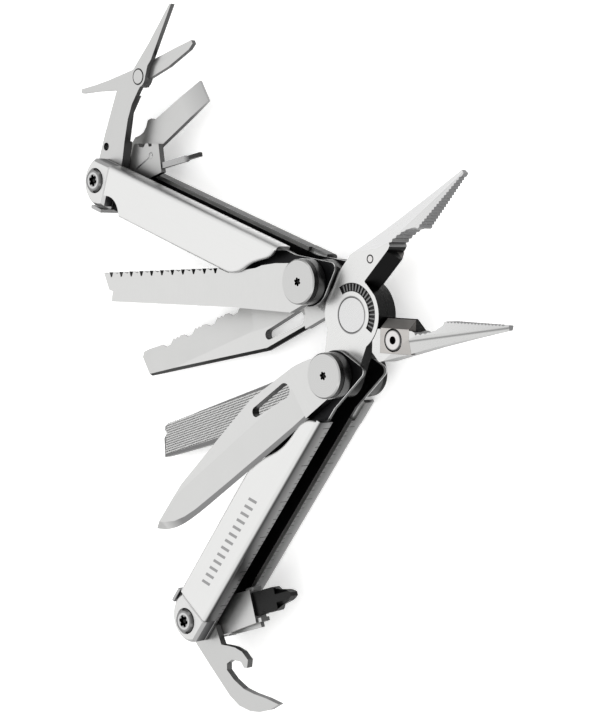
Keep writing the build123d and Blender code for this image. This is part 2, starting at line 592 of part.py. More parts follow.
def flat_screwdriver():
    """Medium flat screwdriver with a nail hook and a thinned tip."""
    arm = [(0.0, -TOOL_TANG), (6.3, -6.0), (11.5, -7.6), (13.3, -7.0), (15.1, -6.8), (16.9, -7.4)]
    arm += [(18.6, -8.7), (20.1, -8.3), (20.9, -7.1), (42.3, -5.8), (42.3, 0.9), (19.3, 0.7), (10.3, 1.9)]
    arm += [(0.0, TOOL_TANG)]
    body = plate(outline(*arm) + Circle(TOOL_TANG), FLAT_BOTTOM, FLAT_TOP)
    thin = 0.35
    for level, way in ((FLAT_TOP, 1), (FLAT_BOTTOM, -1)):
        slope = [(34.0, level), (42.8, level - way * thin), (42.8, level + way)]
        side = Plane(origin=(0, 10, 0), x_dir=(1, 0, 0), z_dir=(0, -1, 0))
        body -= extrude(side * outline(*slope), 20.0)
    return body - tool_bore(FLAT_BOTTOM, FLAT_TOP)


def small_bit_driver():
    """Holder of the small bit: a plate with a flat socket in its outer end."""
    x0, x1 = SMALL_SOCKET
    arm = [(0.0, -TOOL_TANG), (7.4, -6.0), (9.2, -9.0), (10.8, -8.9), (11.4, -7.7), (13.0, -7.3)]
    arm += [(14.2, -8.2), (15.2, -8.0), (15.4, -7.0), (16.6, -6.9), (16.8, -7.7), (x1, -7.0), (x1, 1.1)]
    arm += [(6.0, 2.8), (0.0, TOOL_TANG)]
    body = plate(outline(*arm) + Circle(TOOL_TANG), SMALL_BOTTOM, SMALL_TOP)
    middle = (SMALL_BOTTOM + SMALL_TOP) / 2
    wide, thick = SMALL_BIT_WIDTH / 2 + FIT, SMALL_BIT_THICK / 2 + FIT
    body -= block(x0, x1 + 1, SMALL_BIT_Y - wide, SMALL_BIT_Y + wide, middle - thick, middle + thick)
    body -= rod(SMALL_PIN[0], SMALL_PIN[1], SMALL_PIN_RADIUS + FIT, SMALL_BOTTOM - 1, SMALL_TOP + 1)
    return body - tool_bore(SMALL_BOTTOM, SMALL_TOP)


def small_bit():
    """Two-ended flat bit: a slot tip outside, a pointed tip in the socket."""
    x0 = SMALL_SOCKET[0] + 0.1
    middle = (SMALL_BOTTOM + SMALL_TOP) / 2
    y, half = SMALL_BIT_Y, SMALL_BIT_WIDTH / 2
    x1, neck = SMALL_BIT_END, half * 0.7
    face = [(x0, y - 0.3), (x0 + 2.0, y - half), (x1 - 6.0, y - half), (x1 - 5.0, y - neck), (x1, y - neck)]
    face += [(x1, y + neck), (x1 - 5.0, y + neck), (x1 - 6.0, y + half), (x0 + 2.0, y + half), (x0, y + 0.3)]
    return plate(outline(*face), middle - SMALL_BIT_THICK / 2, middle + SMALL_BIT_THICK / 2)


def small_bit_pin():
    """Pin that anchors the wire catch of the small bit, flush with the plate."""
    return rod(SMALL_PIN[0], SMALL_PIN[1], SMALL_PIN_RADIUS, SMALL_BOTTOM, SMALL_TOP)


def can_opener():
    """Can and bottle opener: hooked cutter, bottle notch between hook and blade."""
    arm = [(0.0, -TOOL_TANG), (3.0, -6.4), (10.8, -7.4), (21.5, -8.6), (25.8, -8.2), (29.8, -6.3)]
    arm += [(32.6, -3.9), (34.9, -0.9), (36.6, 2.9), (32.5, 1.0), (28.1, -1.5), (24.4, -3.2)]
    arm += [(20.1, -3.9), (16.5, -3.7)]
    arm += [(15.5, -2.3), (16.3, 0.0), (19.3, 2.0), (21.1, 1.5), (22.0, 2.3), (21.0, 4.3), (18.0, 4.5)]
    arm += [(15.3, 3.5), (13.6, 2.4), (10.8, 0.4), (6.0, 3.0), (0.0, TOOL_TANG)]
    body = plate(outline(*arm) + Circle(TOOL_TANG), OPENER_BOTTOM, OPENER_TOP)
    return body - tool_bore(OPENER_BOTTOM, OPENER_TOP)


def large_bit_driver():
    """Holder of the large bit: a thick plate with a flat socket and two spring nubs."""
    x0, x1 = LARGE_SOCKET
    arm = [(0.0, -TOOL_TANG), (3.0, -5.9), (8.3, -5.7), (x1, -5.0), (x1, 4.0), (8.0, 4.2), (0.0, TOOL_TANG)]
    body = plate(outline(*arm) + Circle(TOOL_TANG), LARGE_BOTTOM, LARGE_TOP)
    body += block(6.0, x1 - 1.5, -6.3, -4.9, LARGE_BOTTOM, LARGE_BOTTOM + 1.3)
    nubs = block(x1 - 2.0, x1 + 1.6, -5.0, -3.9, LARGE_BOTTOM + 0.6, LARGE_TOP - 0.6)
    nubs += block(x1 - 2.0, x1 + 1.0, 3.6, 4.6, LARGE_BOTTOM + 0.6, LARGE_TOP - 0.6)
    middle = (LARGE_BOTTOM + LARGE_TOP) / 2
    wide, thick = LARGE_BIT_WIDTH / 2 + FIT, LARGE_BIT_THICK / 2 + FIT
    body = body + nubs - block(x0, x1 + 3, -wide, wide, middle - thick, middle + thick)
    return body - tool_bore(LARGE_BOTTOM, LARGE_TOP)


def large_bit():
    """Two-ended black bit: flat shank with side nicks, cross tip outside, slot tip in the socket."""
    x0 = LARGE_SOCKET[0] + 0.1
    middle = (LARGE_BOTTOM + LARGE_TOP) / 2
    half, thick = LARGE_BIT_WIDTH / 2, LARGE_BIT_THICK / 2
    x1 = LARGE_BIT_END
    face = [(x0, -2.0), (x0 + 3.0, -2.0), (x0 + 4.5, -half), (x1 - 12.4, -half), (x1 - 12.0, -half + 0.8)]
    face += [(x1 - 11.0, -half + 0.8), (x1 - 10.6, -half), (x1 - 6.5, -half), (x1 - 4.5, -2.1)]
    face += [(x1 - 1.5, -1.5)]
    upper = [(x, -y) for x, y in reversed(face)]
    body = plate(outline(*face, (x1, -0.5), (x1, 0.5), *upper), middle - thick, middle + thick)
    flute = 1.1
    for y in (-1, 1):
        for z in (-1, 1):
            cut = Pos(x1 - 2.5, y * 2.0, middle + z * 1.9) * Rot(45, 0, 0) * Box(7.0, flute * 2, flute * 2)
            body -= cut
    return body


def tool_spacers(levels):
    """Thin washers on the tool pivot between inside tools and frame walls."""
    rings = []
    for bottom, top in levels:
        ring = rod(0, 0, 3.6, bottom + 0.03, top - 0.03) - tool_bore(bottom, top)
        rings.append(ring)
    return rings


# ---------------------------------------------------------------- places
def on_circle(radius, angle):
    return Vector(radius * math.cos(math.radians(angle)), radius * math.sin(math.radians(angle)), 0)


LOWER_PIVOT = on_circle(TANG_ARM, UPPER_JAW_ANGLE - TANG_ANGLE)
UPPER_PIVOT = on_circle(TANG_ARM, LOWER_JAW_ANGLE + TANG_ANGLE)
REST = Pos(-LOWER_PIVOT.X, -LOWER_PIVOT.Y, HEAD_OUT)


def in_upper_jaw(shape):
    return REST * Rot(0, 0, UPPER_JAW_ANGLE) * shape


def in_lower_jaw(shape):
    return REST * Rot(0, 0, LOWER_JAW_ANGLE) * Rot(180, 0, 0) * shape


def in_lower(shape):
    return REST * Pos(LOWER_PIVOT) * Rot(0, 0, LOWER_HANDLE_ANGLE) * shape


def in_upper(shape):
    return REST * Pos(UPPER_PIVOT) * Rot(0, 0, UPPER_HANDLE_ANGLE) * mirror(shape, Plane.XZ)


def opened(shape, angle):
    """An outside blade swung out of its handle, spine first."""
    return Rot(0, 0, -angle) * shape


def turned(shape, angle):
    """An inside tool at its place on the tool pivot."""
    return Pos(PIVOT_TO_END, 0, 0) * Rot(0, 0, angle) * shape


def group(solids, place):
    return Compound(children=[place(solid) for solid in solids])


NODES = {
    "upper_jaw": in_upper_jaw(jaw()),
    "lower_jaw": in_lower_jaw(jaw()),
    "main_rivet": in_upper_jaw(main_rivet()),
    "upper_cutter_insert": in_upper_jaw(cutter_insert()),
    "lower_cutter_insert": in_lower_jaw(cutter_insert()),
    "upper_cutter_screw": in_upper_jaw(cutter_screw()),
    "lower_cutter_screw": in_lower_jaw(cutter_screw()),
}
for name, place, front_scoop in (("lower", in_lower, True), ("upper", in_upper, False)):
    NODES[name + "_frame"] = place(frame())
    NODES[name + "_front_shell"] = place(shell(front_scoop, False))
    NODES[name + "_rear_shell"] = place(rear(shell(not front_scoop, True)))
    NODES[name + "_pivot_post"] = place(pivot_post())
    NODES[name + "_pivot_screw"] = place(pivot_screw())
    NODES[name + "_end_post"] = place(end_post())
    NODES[name + "_end_screw"] = place(end_screw())
    NODES[name + "_blade_washers"] = group(blade_washers(), place)
    NODES[name + "_lock_lever"] = place(lock_lever())
    NODES[name + "_lock_pin"] = place(lock_pin())
    NODES[name + "_lock_spring"] = place(lock_spring())
NODES.update({
    "knife": in_lower(opened(knife(), KNIFE_OPEN)),
    "metal_file": in_lower(opened(rear(metal_file()), FILE_OPEN)),
    "saw": in_upper(opened(saw(), SAW_OPEN)),
    "serrated_knife": in_upper(opened(rear(serrated_knife()), SERRATED_OPEN)),
    "can_opener": in_lower(turned(can_opener(), OPENER_TURN)),
    "large_bit_driver": in_lower(turned(large_bit_driver(), LARGE_DRIVER_TURN)),
    "large_bit": in_lower(turned(large_bit(), LARGE_DRIVER_TURN)),
    "scissors_body": in_upper(turned(scissors_body(), SCISSORS_TURN)),
    "scissors_lever": in_upper(turned(scissors_lever(), SCISSORS_TURN)),
    "scissors_rivet": in_upper(turned(scissors_rivet(), SCISSORS_TURN)),
    "scissors_spring": in_upper(turned(scissors_spring(), SCISSORS_TURN)),
    "flat_screwdriver": in_upper(turned(flat_screwdriver(), FLAT_DRIVER_TURN)),
    "small_bit_driver": in_upper(turned(small_bit_driver(), SMALL_DRIVER_TURN)),
    "small_bit": in_upper(turned(small_bit(), SMALL_DRIVER_TURN)),
    "small_bit_pin": in_upper(turned(small_bit_pin(), SMALL_DRIVER_TURN)),
})
LOWER_LEVELS = [(OPENER_TOP, WALL_IN), (LARGE_TOP, OPENER_BOTTOM), (-WALL_IN, LARGE_BOTTOM)]
UPPER_LEVELS = [(SCISSORS_TOP, WALL_IN), (SMALL_TOP, SCISSORS_BOTTOM), (FLAT_TOP, SMALL_BOTTOM)]
UPPER_LEVELS.append((-WALL_IN, FLAT_BOTTOM))
NODES["lower_tool_spacers"] = group([turned(ring, 0) for ring in tool_spacers(LOWER_LEVELS)], in_lower)
NODES["upper_tool_spacers"] = group([turned(ring, 0) for ring in tool_spacers(UPPER_LEVELS)], in_upper)

os.makedirs("parts", exist_ok=True)
for name, shape in NODES.items():
    export_step(shape, f"parts/{name}.step")
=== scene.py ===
import json
import math

import bmesh
import bpy
from mathutils import Matrix, Vector


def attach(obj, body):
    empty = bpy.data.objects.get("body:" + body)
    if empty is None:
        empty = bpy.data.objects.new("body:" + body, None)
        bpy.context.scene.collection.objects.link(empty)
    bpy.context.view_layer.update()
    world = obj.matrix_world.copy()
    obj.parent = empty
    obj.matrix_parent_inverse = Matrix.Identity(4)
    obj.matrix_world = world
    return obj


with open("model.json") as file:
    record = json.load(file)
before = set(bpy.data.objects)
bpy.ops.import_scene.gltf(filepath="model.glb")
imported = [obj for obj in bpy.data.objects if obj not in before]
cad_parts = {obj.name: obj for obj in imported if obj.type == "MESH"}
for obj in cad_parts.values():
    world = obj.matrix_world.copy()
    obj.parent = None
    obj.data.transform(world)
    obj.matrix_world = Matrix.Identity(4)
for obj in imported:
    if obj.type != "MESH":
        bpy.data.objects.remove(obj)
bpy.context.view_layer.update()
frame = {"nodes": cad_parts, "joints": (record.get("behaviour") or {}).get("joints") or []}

nodes = frame["nodes"]
joints = {joint["name"]: joint for joint in frame["joints"]}

# ---------------------------------------------------------------- camera
# A long lens looks down on the tool from beyond the jaws, at about 45 degrees.
# It stands half a metre away, so the near and far ends keep their real proportions.
eye = Vector((0.35552, 0.01469, 0.37802))
look = Vector((-0.7105, -0.0228, -0.7034)).normalized()
picture_up = Vector((0.0, 0.9995, -0.0324))
right = look.cross(picture_up).normalized()
up = right.cross(look)
lens = bpy.data.cameras.new("long_lens")
lens.lens = 98.9
lens.sensor_width = 36.0
lens.clip_start = 0.01
lens.clip_end = 20.0
camera = bpy.data.objects.new("camera", lens)
camera.matrix_world = Matrix.Translation(eye) @ Matrix((right, up, -look)).transposed().to_4x4()
bpy.context.collection.objects.link(camera)
bpy.context.scene.camera = camera


# ---------------------------------------------------------------- floor and light
# A pale matt table, lit by a wide soft box beyond the handles, a smaller one on each side and a
# pale surround that darkens towards the horizon, as a small catalogue set is lit.
def add_node(tree, kind, *values, **settings):
    """A node with its inputs filled in order, by a number, a colour or another node's output."""
    node = tree.nodes.new(kind)
    for key, value in settings.items():
        setattr(node, key, value)
    for socket, value in zip(node.inputs, values):
        if isinstance(value, bpy.types.NodeSocket):
            tree.links.new(value, socket)
        elif value is not None:
            socket.default_value = value
    return node


def maths(tree, operation, *values, clamp=False):
    return add_node(tree, "ShaderNodeMath", *values, operation=operation, use_clamp=clamp).outputs[0]


def blank_material(name):
    """An empty material, its tree and its Principled shader."""
    material = bpy.data.materials.new(name)
    material.use_nodes = True
    tree = material.node_tree
    tree.nodes.clear()
    shader = tree.nodes.new("ShaderNodeBsdfPrincipled")
    output = tree.nodes.new("ShaderNodeOutputMaterial")
    tree.links.new(shader.outputs[0], output.inputs[0])
    return material, tree, shader


floor_reach = 3.0
floor_mesh = bpy.data.meshes.new("floor")
bm = bmesh.new()
bmesh.ops.create_grid(bm, x_segments=1, y_segments=1, size=floor_reach)
bm.to_mesh(floor_mesh)
bm.free()
floor = bpy.data.objects.new("floor", floor_mesh)
bpy.context.collection.objects.link(floor)
material, tree, shader = blank_material("table_top")
shader.inputs["Base Color"].default_value = (0.93, 0.93, 0.925, 1)
shader.inputs["Roughness"].default_value = 0.9
shader.inputs["Specular IOR Level"].default_value = 0.1
shader.inputs["Emission Color"].default_value = (1, 1, 1, 1)
shader.inputs["Emission Strength"].default_value = 0.32
floor_mesh.materials.append(material)

tool_middle = Vector((-0.02, 0.01, 0.0))
for name, place, size, power in (
        ("back_box", (-1.3, 0.05, 1.3), 1.6, 1.6),
        ("front_box", (0.9, -1.0, 1.3), 0.8, 2.4),
        ("far_box", (0.1, 1.4, 1.2), 0.8, 2.4)):
    light = bpy.data.lights.new(name, "AREA")
    light.shape = "DISK"
    light.size = size
    light.energy = power
    lamp = bpy.data.objects.new(name, light)
    lamp.location = place
    lamp.rotation_euler = (tool_middle - Vector(place)).to_track_quat("-Z", "Y").to_euler()
    bpy.context.collection.objects.link(lamp)

world = bpy.data.worlds.new("pale_surround")
bpy.context.scene.world = world
world.use_nodes = True
tree = world.node_tree
tree.nodes.clear()
sky = add_node(tree, "ShaderNodeTexCoord").outputs["Generated"]
height = add_node(tree, "ShaderNodeSeparateXYZ", sky).outputs["Z"]
shades = add_node(tree, "ShaderNodeValToRGB", height)
horizon, overhead = shades.color_ramp.elements
horizon.position = 0.05
horizon.color = (0.05, 0.05, 0.05, 1)
overhead.position = 0.45
overhead.color = (1, 1, 1, 1)
surround = add_node(tree, "ShaderNodeBackground", shades.outputs[0], 1.3)
output = tree.nodes.new("ShaderNodeOutputWorld")
tree.links.new(surround.outputs[0], output.inputs[0])
bpy.context.scene.view_settings.view_transform = "Standard"


# ---------------------------------------------------------------- outer shells
# Four pressed stainless shells, bead blasted to a bright satin. Each folds over the palm side as a
# darker brushed flange, whose tones are painted reflection and shade, graded from beside the channel to
# the outer edge, with a ruler etched along the edge next to the channel.
def socket_value(group, kind, name, start=0.0, out=False):
    socket = group.interface.new_socket(name, in_out="OUTPUT" if out else "INPUT", socket_type=kind)
    if not out and kind != "NodeSocketVector":
        socket.default_value = start


def make_steel_group():
    """Ground steel: own colour on faces, painted shade on sides, fine lines, cloudy patches and stray
    scratches.
    """
    group = bpy.data.node_groups.new("ground_steel", "ShaderNodeTree")
    socket_value(group, "NodeSocketVector", "Place")
    socket_value(group, "NodeSocketFloat", "Line Length", 6.0)
    socket_value(group, "NodeSocketFloat", "Line Pitch", 0.12)
    socket_value(group, "NodeSocketColor", "Face", (0.8, 0.8, 0.8, 1))
    socket_value(group, "NodeSocketColor", "Side", (0.3, 0.3, 0.3, 1))
    socket_value(group, "NodeSocketFloat", "Streak", 0.1)
    socket_value(group, "NodeSocketFloat", "Smooth", 0.25)
    socket_value(group, "NodeSocketFloat", "Rough", 0.4)
    socket_value(group, "NodeSocketColor", "Colour", out=True)
    socket_value(group, "NodeSocketFloat", "Roughness", out=True)
    socket_value(group, "NodeSocketFloat", "Height", out=True)
    socket_value(group, "NodeSocketFloat", "Facing", out=True)
    given = group.nodes.new("NodeGroupInput").outputs
    given_out = group.nodes.new("NodeGroupOutput").inputs
    parts = add_node(group, "ShaderNodeSeparateXYZ", given["Place"]).outputs
    along = maths(group, "DIVIDE", parts["X"], given["Line Length"])
    across = maths(group, "DIVIDE", parts["Y"], given["Line Pitch"])
    through = maths(group, "DIVIDE", parts["Z"], given["Line Pitch"])
    stretched = add_node(group, "ShaderNodeCombineXYZ", along, across, through).outputs[0]
    lines = add_node(group, "ShaderNodeTexNoise", stretched, None, 1.0, 3.0, 0.65).outputs[0]
    patches = add_node(group, "ShaderNodeTexNoise", given["Place"], None, 0.16, 2.0, 0.5).outputs[0]
    longer = add_node(group, "ShaderNodeVectorMath", stretched, (0.35, 0.5, 0.5), operation="MULTIPLY")
    marks = add_node(group, "ShaderNodeTexNoise", longer.outputs[0], None, 1.0, 1.0, 0.5).outputs[0]
    scratch = maths(group, "MULTIPLY_ADD", marks, 14.0, -10.2, clamp=True)
    normal = add_node(group, "ShaderNodeNewGeometry").outputs["Normal"]
    upright = maths(group, "ABSOLUTE", add_node(group, "ShaderNodeSeparateXYZ", normal).outputs["Z"])
    facing = add_node(
        group, "ShaderNodeMapRange", upright, 0.25, 0.92, 0.0, 1.0, interpolation_type="SMOOTHSTEP")
    # faces turned sideways get the second colour, a painted shade and reflection; flat faces keep the steel's
    # own colour
    colour = add_node(group, "ShaderNodeMix", data_type="RGBA")
    group.links.new(facing.outputs[0], colour.inputs["Factor"])
    group.links.new(given["Side"], colour.inputs[6])
    group.links.new(given["Face"], colour.inputs[7])
    unevenness = maths(group, "ADD", lines, maths(group, "MULTIPLY", patches, 0.8))
    unevenness = maths(group, "SUBTRACT", unevenness, 0.9)
    unevenness = maths(group, "SUBTRACT", unevenness, maths(group, "MULTIPLY", scratch, 0.5))
    gain = maths(group, "ADD", maths(group, "MULTIPLY", unevenness, given["Streak"]), 1.0)
    toned = add_node(group, "ShaderNodeVectorMath", colour.outputs[2], None, operation="SCALE")
    group.links.new(gain, toned.inputs["Scale"])
    group.links.new(toned.outputs[0], given_out["Colour"])
    mixed = maths(group, "MULTIPLY_ADD", patches, 0.6, maths(group, "MULTIPLY", lines, 0.45), clamp=True)
    spread = maths(group, "SUBTRACT", given["Rough"], given["Smooth"])
    rough = maths(group, "MULTIPLY_ADD", mixed, spread, given["Smooth"])
    group.links.new(rough, given_out["Roughness"])
    height = maths(group, "SUBTRACT", lines, maths(group, "MULTIPLY", scratch, 0.8))
    group.links.new(height, given_out["Height"])
    group.links.new(facing.outputs[0], given_out["Facing"])
    return group


steel_group = make_steel_group()
thickness_middle = 1000 * joints["jaw_pivot"]["pos_m"][2]


def pivot(joint_name):
    """Where a hinge stands on the table, in mm."""
    x, y, _ = joints[joint_name]["pos_m"]
    return 1000 * x, 1000 * y


def handle_place(blade_joint, tool_joint, hand):
    """A handle's own frame: its blade pivot, its direction in degrees, and which way its palm side faces."""
    x, y = pivot(blade_joint)
    end_x, end_y = pivot(tool_joint)
    direction = math.degrees(math.atan2(end_y - y, end_x - x))
    return x, y, round(direction, 1), hand


lower_place = handle_place("lower_handle_fold", "can_opener_pivot", 1)
upper_place = handle_place("upper_handle_fold", "scissors_pivot", -1)


def steel(name, place, face, side, length=6.0, pitch=0.12, streak=0.1, smooth=0.25, rough=0.4, depth=0.004):
    """Ground steel whose lines run along a piece; parts holds X, Y and Z in the piece's frame, in mm."""
    material, tree, shader = blank_material(name)
    x, y, turn, hand = place
    spot = add_node(tree, "ShaderNodeTexCoord").outputs["Object"]
    mapping = add_node(tree, "ShaderNodeMapping", spot, vector_type="TEXTURE")
    mapping.inputs["Location"].default_value = (x / 1000, y / 1000, thickness_middle / 1000)
    mapping.inputs["Rotation"].default_value = (0, 0, math.radians(turn))
    mapping.inputs["Scale"].default_value = (0.001, 0.001 * hand, 0.001)
    skin = add_node(tree, "ShaderNodeGroup", node_tree=steel_group)
    tree.links.new(mapping.outputs[0], skin.inputs["Place"])
    # face is the steel's own colour; side is the painted shade and reflection on its sideways faces
    for key, value in (
            ("Line Length", length), ("Line Pitch", pitch), ("Face", (*face, 1)), ("Side", (*side, 1)),
            ("Streak", streak), ("Smooth", smooth), ("Rough", rough)):
        skin.inputs[key].default_value = value
    tree.links.new(skin.outputs["Colour"], shader.inputs["Base Color"])
    tree.links.new(skin.outputs["Roughness"], shader.inputs["Roughness"])
    bump = add_node(tree, "ShaderNodeBump")
    bump.inputs["Strength"].default_value = 0.35
    bump.inputs["Distance"].default_value = depth / 1000
    tree.links.new(skin.outputs["Height"], bump.inputs["Height"])
    tree.links.new(bump.outputs[0], shader.inputs["Normal"])
    shader.inputs["Metallic"].default_value = 1.0
    parts = add_node(tree, "ShaderNodeSeparateXYZ", mapping.outputs[0]).outputs
    return material, tree, shader, skin, parts


def paint(tree, shader, mask, colour):
    """Lay another colour over a material's base colour where the mask is 1."""
    old = shader.inputs["Base Color"].links[0].from_socket
    mix = add_node(tree, "ShaderNodeMix", data_type="RGBA")
    tree.links.new(mask, mix.inputs["Factor"])
    tree.links.new(old, mix.inputs[6])
    if isinstance(colour, bpy.types.NodeSocket):
        tree.links.new(colour, mix.inputs[7])
    else:
        mix.inputs[7].default_value = (*colour, 1)
    tree.links.new(mix.outputs[2], shader.inputs["Base Color"])


def all_of(tree, *masks):
    result = masks[0]
    for mask in masks[1:]:
        result = maths(tree, "MULTIPLY", result, mask)
    return result


def above(tree, value, level, soft=0.02):
    """1 where a value is over a level, with a soft step."""
    return add_node(tree, "ShaderNodeMapRange", value, level - soft, level + soft, 0.0, 1.0).outputs[0]


def below(tree, value, level, soft=0.02):
    return maths(tree, "SUBTRACT", 1.0, above(tree, value, level, soft))


def between(tree, value, low, high, soft=0.02):
    return all_of(tree, above(tree, value, low, soft), below(tree, value, high, soft))


def dress(material, *names):
    for name in names:
        data = nodes[name].data
        data.materials.clear()
        data.materials.append(material)


def ramp(tree, value, start, end):
    """0 at one value and 1 at another, straight between them."""
    return add_node(tree, "ShaderNodeMapRange", value, start, end, 0.0, 1.0).outputs[0]


def comb(tree, value, pitch, width):
    """1 on a narrow stripe at the start of each pitch."""
    phase = maths(tree, "FRACT", maths(tree, "DIVIDE", value, pitch))
    return below(tree, phase, width / pitch, 0.03 / pitch)


ruler_pitch = 1.5875
ruler_start = 3.6
tick_width = 0.2
grip_division = 8.9
palm_edge = 4.9
flange_inner, flange_outer = 4.9, 7.6
shell_face = 8.4
bar_pitch, bar_width, bar_slant = 2.5, 0.9, 0.35
# painted reflection and shade on each flange: its tone beside the channel, and at its outer edge
flange_painted_reflections = {
    "lower_front": (0.20, 0.07), "lower_rear": (0.15, 0.30),
    "upper_front": (0.62, 0.24), "upper_rear": (0.06, 0.09)}
for shell_name, (inner_reflection_tone, outer_reflection_tone) in flange_painted_reflections.items():
    place = lower_place if shell_name.startswith("lower") else upper_place
    material, tree, shader, skin, parts = steel(
        shell_name + "_shell_satin", place, (0.575, 0.575, 0.57), (inner_reflection_tone,) * 3, length=9.0, pitch=0.16,
        streak=0.06, smooth=0.30, rough=0.44, depth=0.003)
    depth = maths(tree, "ABSOLUTE", parts["Z"])
    on_flange = below(tree, skin.outputs["Facing"], 0.6, 0.3)
    on_flange = all_of(tree, on_flange, above(tree, parts["Y"], palm_edge + 0.3))
    # painted reflection and shade: the flange grades from its tone beside the channel to its outer tone
    outward = ramp(tree, depth, flange_inner, flange_outer)
    paint(tree, shader, all_of(tree, on_flange, outward), (outer_reflection_tone,) * 3)
    for step, reach in ((1, 0.7), (2, 1.2), (8, 2.3)):
        mark = comb(tree, parts["X"], ruler_pitch * step, tick_width)
        tick = all_of(tree, mark, below(tree, depth, ruler_start + reach), on_flange)
        paint(tree, shader, tick, (0.008, 0.008, 0.008))
    if shell_name == "upper_rear":
        division = comb(tree, parts["X"], grip_division, 0.3)
        paint(tree, shader, all_of(tree, division, on_flange), (0.2, 0.2, 0.2))
    if shell_name == "lower_front":
        # a plain row of slanted etched bars along the shell, grey like an acid mark
        slanted = maths(tree, "MULTIPLY_ADD", parts["Y"], bar_slant, parts["X"])
        band = all_of(
            tree, between(tree, parts["X"], 42.0, 74.0), between(tree, parts["Y"], -1.7, 1.3),
            above(tree, parts["Z"], shell_face))
        paint(tree, shader, all_of(tree, band, comb(tree, slanted, bar_pitch, bar_width)), (0.25, 0.25, 0.25))
    dress(material, shell_name + "_shell")

# ---------------------------------------------------------------- handle frames
# Folded stainless channels, painted near black inside and on the round ends as shade and dark reflection,
# with bright sheared edges and a solid polished bolster round the tool pivot, whose rim carries painted
# shade.
wall_inside, wall_outside = 3.41, 4.45
flank = -6.55
bolster_start = 82.1
for side_name, place in (("lower", lower_place), ("upper", upper_place)):
    # the frame's colour is painted near black: shade in the channel and dark reflection on the round ends
    material, tree, shader, skin, parts = steel(
        side_name + "_frame_dark", place, (0.016, 0.016, 0.017), (0.10, 0.10, 0.10), length=4.0, pitch=0.2,
        streak=0.5, smooth=0.28, rough=0.5)
    depth = maths(tree, "ABSOLUTE", parts["Z"])
    facing = skin.outputs["Facing"]
    # painted shade inside the channel
    inside = all_of(tree, below(tree, depth, wall_inside), between(tree, parts["Y"], flank, palm_edge - 0.15))
    paint(tree, shader, inside, (0.02, 0.02, 0.021))
    sheared = all_of(tree, between(tree, depth, 4.2, 4.6), below(tree, facing, 0.5))
    paint(tree, shader, sheared, (0.55, 0.55, 0.55))
    bolster = all_of(tree, above(tree, parts["X"], bolster_start), above(tree, depth, wall_outside))
    paint(tree, shader, all_of(tree, bolster, facing), (0.54, 0.54, 0.535))
    # painted shade on the bolster's rim, darker towards the middle of the thickness
    rim = all_of(tree, bolster, maths(tree, "SUBTRACT", 1.0, facing))
    shade = add_node(tree, "ShaderNodeMix", data_type="RGBA")
    tree.links.new(ramp(tree, depth, 4.6, 8.2), shade.inputs["Factor"])
    shade.inputs[6].default_value = (0.04, 0.04, 0.042, 1)
    shade.inputs[7].default_value = (0.30, 0.30, 0.305, 1)
    paint(tree, shader, rim, shade.outputs[2])
    dress(material, side_name + "_frame")

# ---------------------------------------------------------------- jaws
# Two forged jaws, ground on their outer faces, with a wide facet down each back that carries a painted
# reflection. The side faces along the gripping teeth are painted a dull grey, and the side walls short
# of the teeth and the space round the cutters are painted near black as shade.
upper_jaw_turn, lower_jaw_turn = 42.5, -3.7
upper_jaw_place = (*pivot("jaw_pivot"), upper_jaw_turn, 1)
lower_jaw_place = (*pivot("jaw_pivot"), lower_jaw_turn, -1)


def tilt_between(tree, low, high):
    """1 on the facets whose normal leans from the thickness by an amount between two cosines."""
    normal = add_node(tree, "ShaderNodeNewGeometry").outputs["True Normal"]
    upright = maths(tree, "ABSOLUTE", add_node(tree, "ShaderNodeSeparateXYZ", normal).outputs["Z"])
    return between(tree, upright, low, high, 0.005)


def distance_from(tree, parts, x=0.0, y=0.0):
    """How far a point is, in mm, from an axis through the thickness."""
    off_x = maths(tree, "SUBTRACT", parts["X"], x)
    off_y = maths(tree, "SUBTRACT", parts["Y"], y)
    spot = add_node(tree, "ShaderNodeCombineXYZ", off_x, off_y).outputs[0]
    return add_node(tree, "ShaderNodeVectorMath", spot, operation="LENGTH").outputs["Value"]


grip_start = 21.2
cutter_start = 9.2
ridge_slope, ridge_height = 0.1624, 8.82
